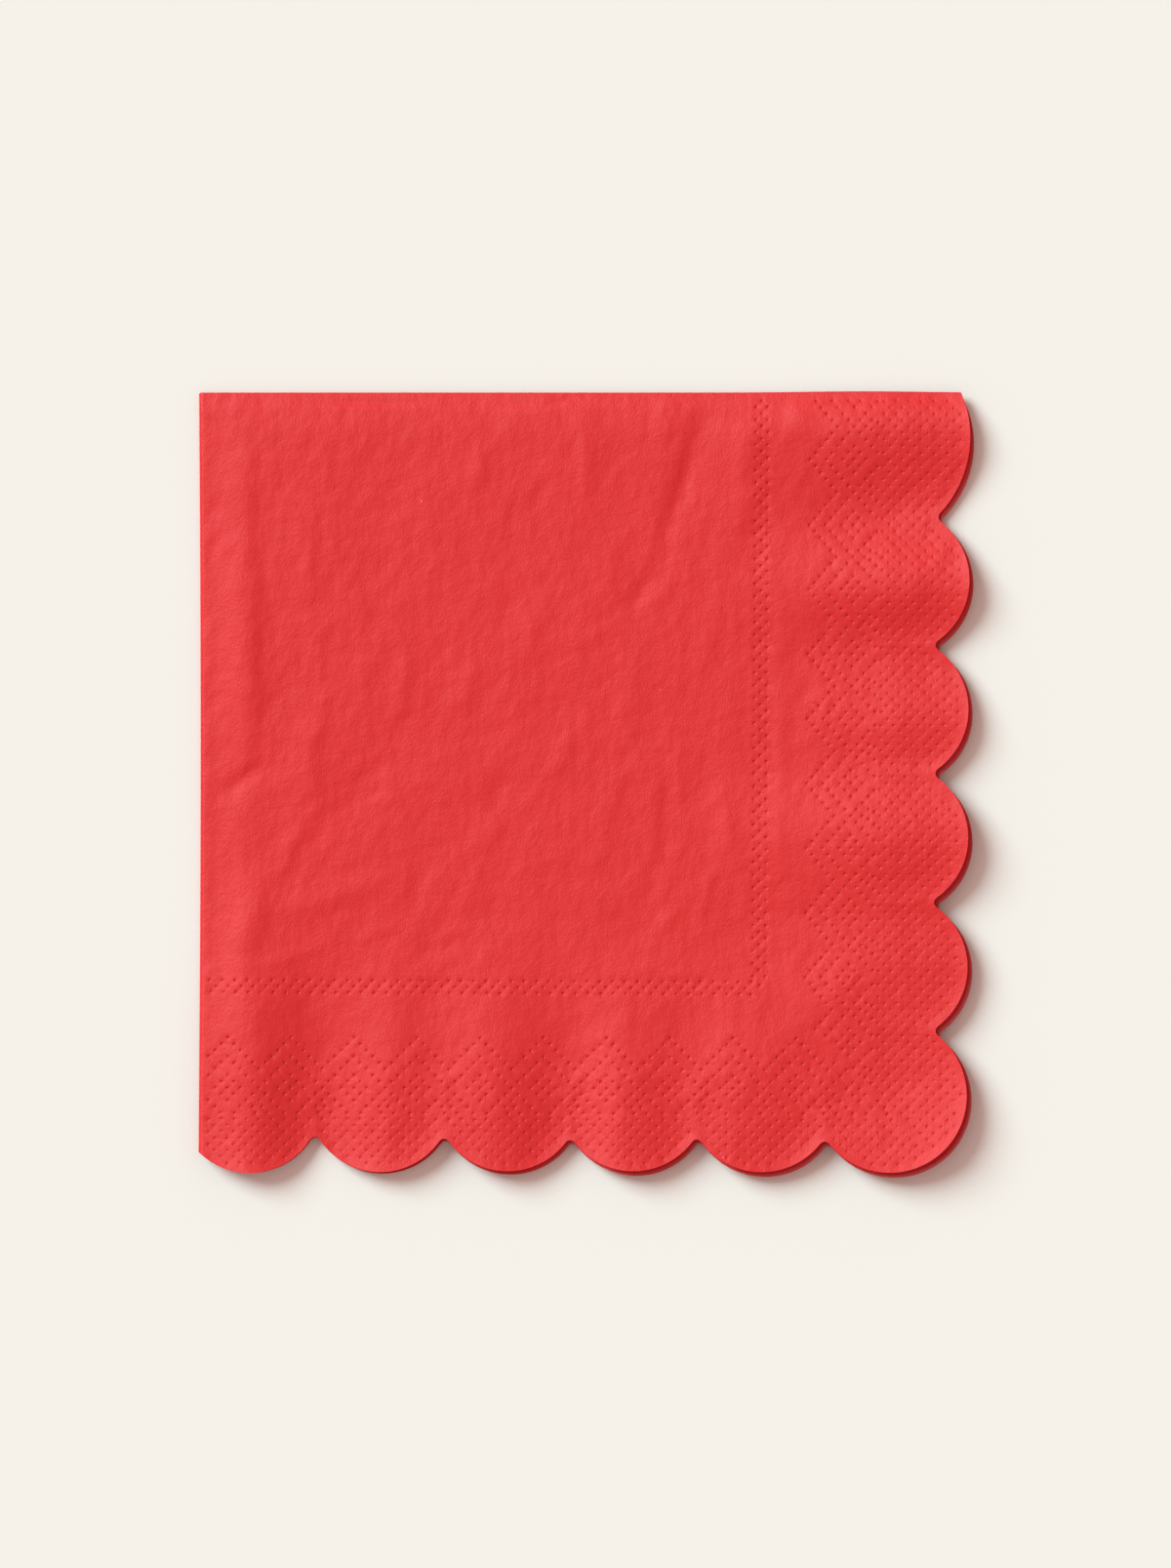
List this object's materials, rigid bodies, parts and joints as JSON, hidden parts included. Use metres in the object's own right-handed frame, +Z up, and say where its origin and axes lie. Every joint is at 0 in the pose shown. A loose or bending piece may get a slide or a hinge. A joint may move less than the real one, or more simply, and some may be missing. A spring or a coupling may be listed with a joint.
{
  "type": "folded paper napkin",
  "caption": "Square paper napkin with scalloped, embossed borders, folded into quarters and lying flat.",
  "frame": {"origin": "middle of the folded napkin's outline, on the surface that it lies on", "axes": "+X from the second fold to the scalloped side opposite it, +Y from the front scalloped side to the first fold, +Z up out of the top layer"},
  "size_m": [0.1656, 0.168, 0.0067],
  "materials": {
    "paper": "matt dyed tissue with dot embossing"
  },
  "bodies": {
    "root": {"napkin": "paper"}
  },
  "joints": []
}
